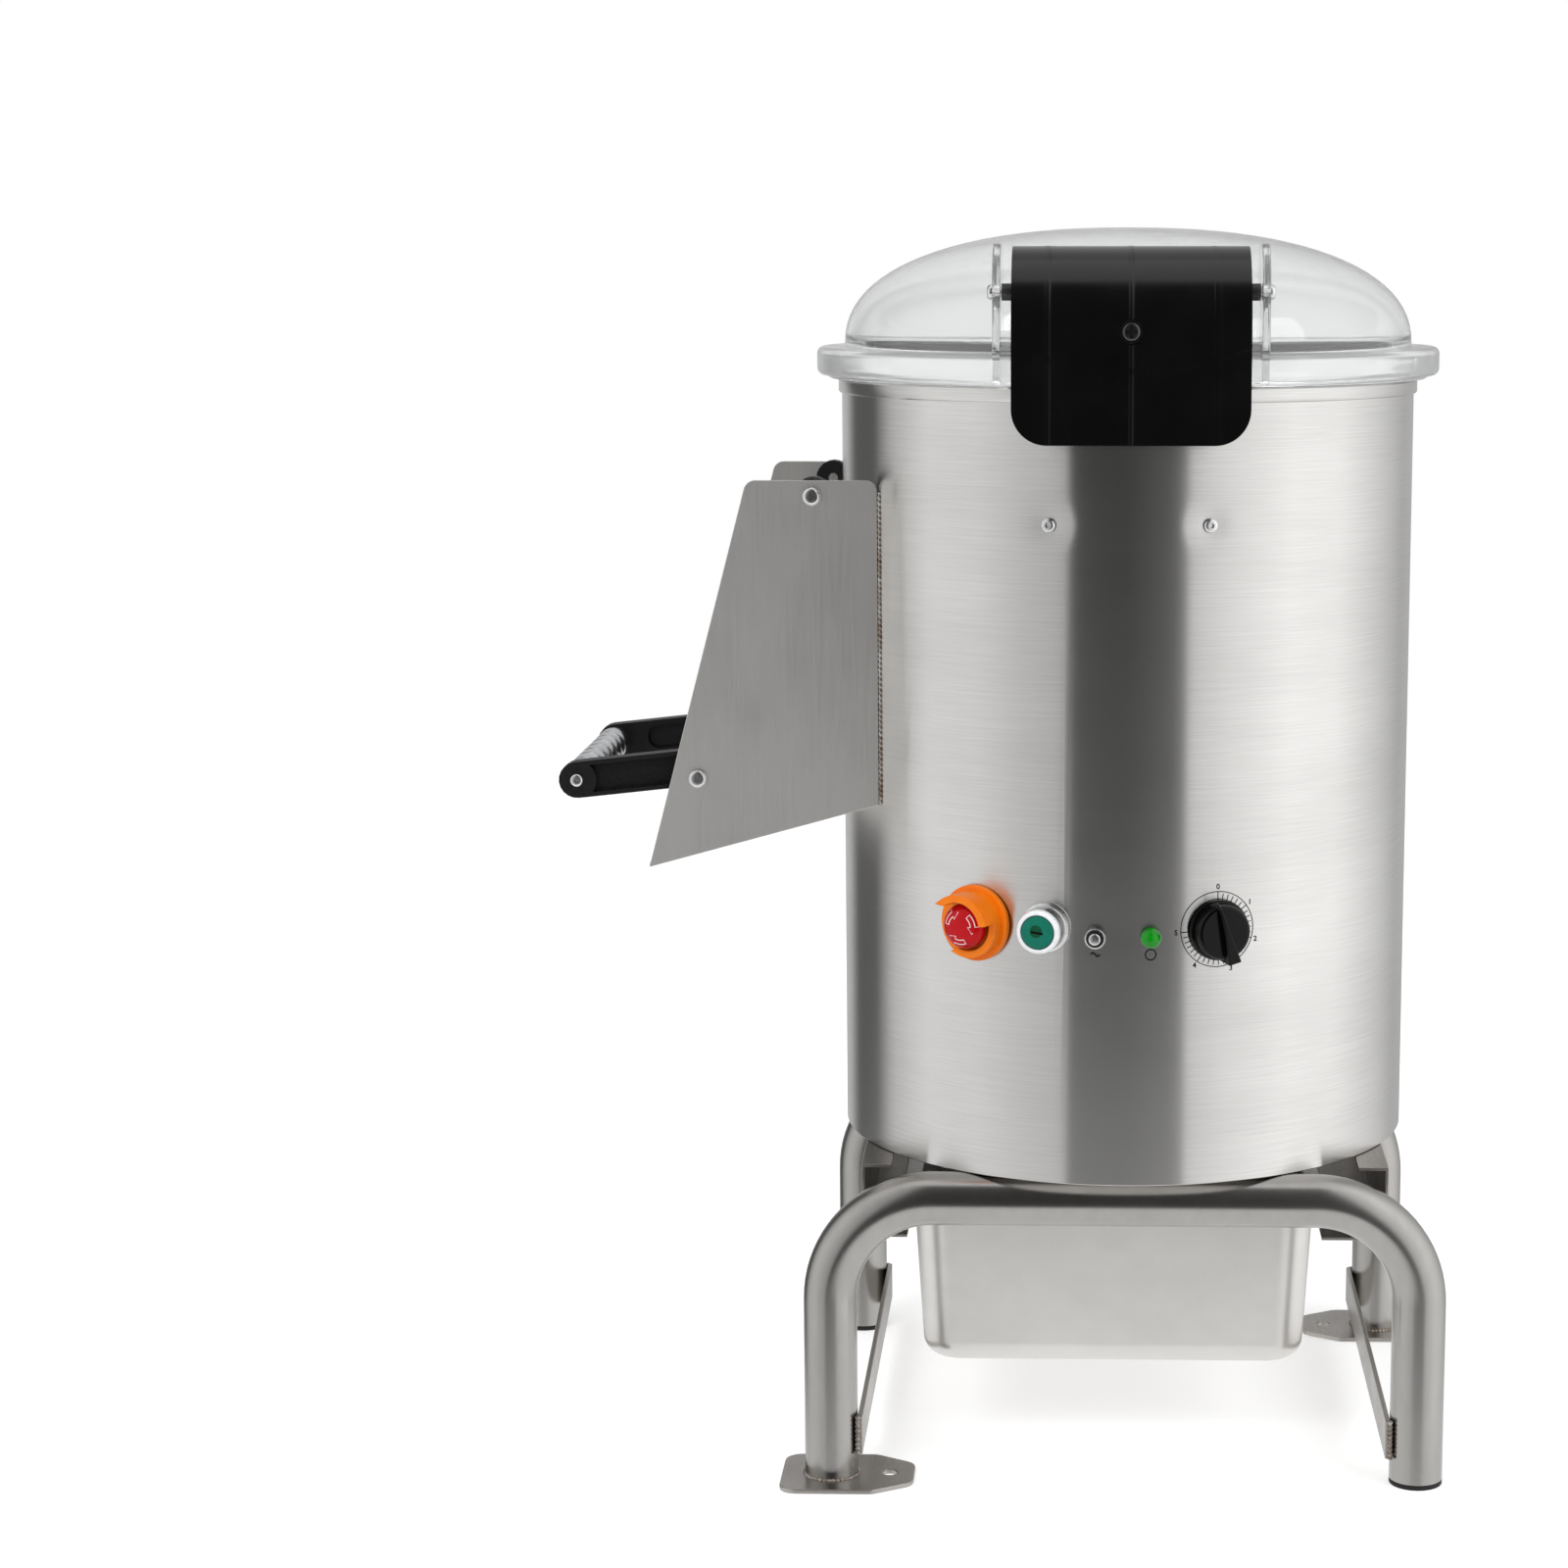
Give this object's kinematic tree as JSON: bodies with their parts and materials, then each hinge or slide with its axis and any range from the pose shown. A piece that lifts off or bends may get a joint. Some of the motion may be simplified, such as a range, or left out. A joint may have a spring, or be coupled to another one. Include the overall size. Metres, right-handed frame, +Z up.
{
  "type": "electric potato peeler",
  "caption": "Electric potato peeler: steel drum on a tubular stand with a clear hinged lid, front latch, side chute with a swinging door, controls and a sliding waste pan.",
  "frame": {"origin": "on the floor, under the middle of the overall box; the drum's axis is 0.068 m to +X and 0.008 m to -Y of it", "axes": "+Z up, controls and latch face -Y, the chute leaves on -X, lid hinge on +Y"},
  "size_m": [0.5479, 0.41, 0.7452],
  "materials": {
    "brushed_steel": "brushed stainless steel sheet",
    "satin_steel": "satin stainless steel tube and pressings",
    "bright_steel": "bright fasteners and fittings",
    "clear_plastic": "clear polycarbonate",
    "black_plastic": "moulded black nylon",
    "black_rubber": "black rubber",
    "grit": "bonded abrasive grit",
    "ribbed_aluminium": "ribbed bright aluminium",
    "orange_plastic": "orange moulded plastic",
    "red_plastic": "red moulded plastic",
    "green_plastic": "green moulded plastic",
    "green_lens": "green lamp lens",
    "white_plastic": "white moulded plastic",
    "painted_motor": "painted motor housing",
    "cast_iron": "machined casting"
  },
  "bodies": {
    "stand": {"front_frame_tube": "satin_steel", "rear_frame_tube": "satin_steel", "side_strap_left": "satin_steel", "side_strap_right": "satin_steel", "foot_plate_front_left": "satin_steel", "foot_plate_rear_right": "satin_steel", "foot_cap_front_right": "black_rubber", "foot_cap_rear_left": "black_rubber", "pan_runner_left": "satin_steel", "pan_runner_right": "satin_steel", "drum_shell": "brushed_steel", "base_plate": "satin_steel", "chamber_floor": "satin_steel", "drain_spout": "satin_steel", "abrasive_liner": "grit", "liner_screw_left": "bright_steel", "liner_screw_right": "bright_steel", "chute_plate_front": "brushed_steel", "chute_plate_rear": "brushed_steel", "chute_floor": "brushed_steel", "hinge_screw_front": "bright_steel", "hinge_screw_rear": "bright_steel", "catch_screw_front": "bright_steel", "catch_screw_rear": "bright_steel", "motor_body": "painted_motor", "bearing_housing": "cast_iron", "drive_belt": "black_rubber", "estop_shroud": "orange_plastic", "start_bezel": "white_plastic", "reset_collar": "bright_steel", "run_lamp": "green_lens", "timer_body": "white_plastic", "hinge_bracket": "satin_steel", "hinge_pin": "bright_steel", "cable_gland": "black_plastic", "water_inlet": "bright_steel"},
    "lid": {"lid_dome": "clear_plastic", "lid_hinge_leaf": "satin_steel", "latch_ear_left": "clear_plastic", "latch_ear_right": "clear_plastic", "latch_pin_left": "bright_steel", "latch_pin_right": "bright_steel"},
    "latch": {"latch_lever": "black_plastic"},
    "door": {"door_panel": "brushed_steel", "door_seal": "black_rubber", "door_arm_front": "black_plastic", "door_arm_rear": "black_plastic", "grip_tube": "ribbed_aluminium", "grip_screw_front": "bright_steel", "grip_screw_rear": "bright_steel"},
    "pan": {"waste_pan": "satin_steel"},
    "estop_plunger": {"estop_stem": "black_plastic"},
    "estop_head": {"estop_mushroom": "red_plastic"},
    "start_button": {"start_cap": "green_plastic"},
    "reset_plunger": {"reset_button": "bright_steel"},
    "timer": {"timer_knob": "black_plastic"},
    "spindle": {"spindle_shaft": "bright_steel", "spindle_pulley": "cast_iron", "abrasive_disc": "grit"},
    "rotor": {"motor_pulley": "cast_iron"}
  },
  "joints": [
    {"name": "lid_hinge", "type": "hinge", "parent": "stand", "child": "lid", "pos_m": [0.068, 0.198, 0.667], "axis": [-1, 0, 0], "range_deg": [0, 95]},
    {"name": "latch_pivot", "type": "hinge", "parent": "lid", "child": "latch", "pos_m": [0.068, -0.176, 0.708], "axis": [-1, 0, 0], "range_deg": [0, 18]},
    {"name": "door_hinge", "type": "hinge", "parent": "stand", "child": "door", "pos_m": [-0.119, -0.008, 0.588], "axis": [0, 1, 0], "range_deg": [0, 70]},
    {"name": "pan_slide", "type": "slide", "parent": "stand", "child": "pan", "axis": [0, -1, 0], "range_m": [0, 0.26]},
    {"name": "estop_push", "type": "slide", "parent": "stand", "child": "estop_plunger", "axis": [0.5, 0.866, 0], "range_m": [0, 0.004], "stiffness_N_per_m": 800},
    {"name": "estop_twist", "type": "hinge", "parent": "estop_plunger", "child": "estop_head", "pos_m": [-0.0195, -0.15955, 0.3434], "axis": [0.5, 0.866, 0], "range_deg": [0, 45], "stiffness_Nm_per_rad": 0.05},
    {"name": "start_push", "type": "slide", "parent": "stand", "child": "start_button", "axis": [0.2672, 0.9636, 0], "range_m": [0, 0.004], "stiffness_N_per_m": 500},
    {"name": "reset_push", "type": "slide", "parent": "stand", "child": "reset_plunger", "axis": [0.1045, 0.9945, 0], "range_m": [0, 0.002], "stiffness_N_per_m": 500},
    {"name": "timer_turn", "type": "hinge", "parent": "stand", "child": "timer", "pos_m": [0.12062, -0.1749, 0.343], "axis": [-0.3007, 0.9537, 0], "range_deg": [-165, 102]},
    {"name": "spindle_spin", "type": "hinge", "parent": "stand", "child": "spindle", "pos_m": [0.068, -0.008, 0.2078], "axis": [0, 0, 1], "continuous": true},
    {"name": "motor_spin", "type": "hinge", "parent": "stand", "child": "rotor", "pos_m": [0.068, 0.098, 0.2078], "axis": [0, 0, 1], "continuous": true}
  ],
  "couplings": [
    {"joint": "motor_spin", "follows": "spindle_spin", "ratio": 2.8235}
  ]
}
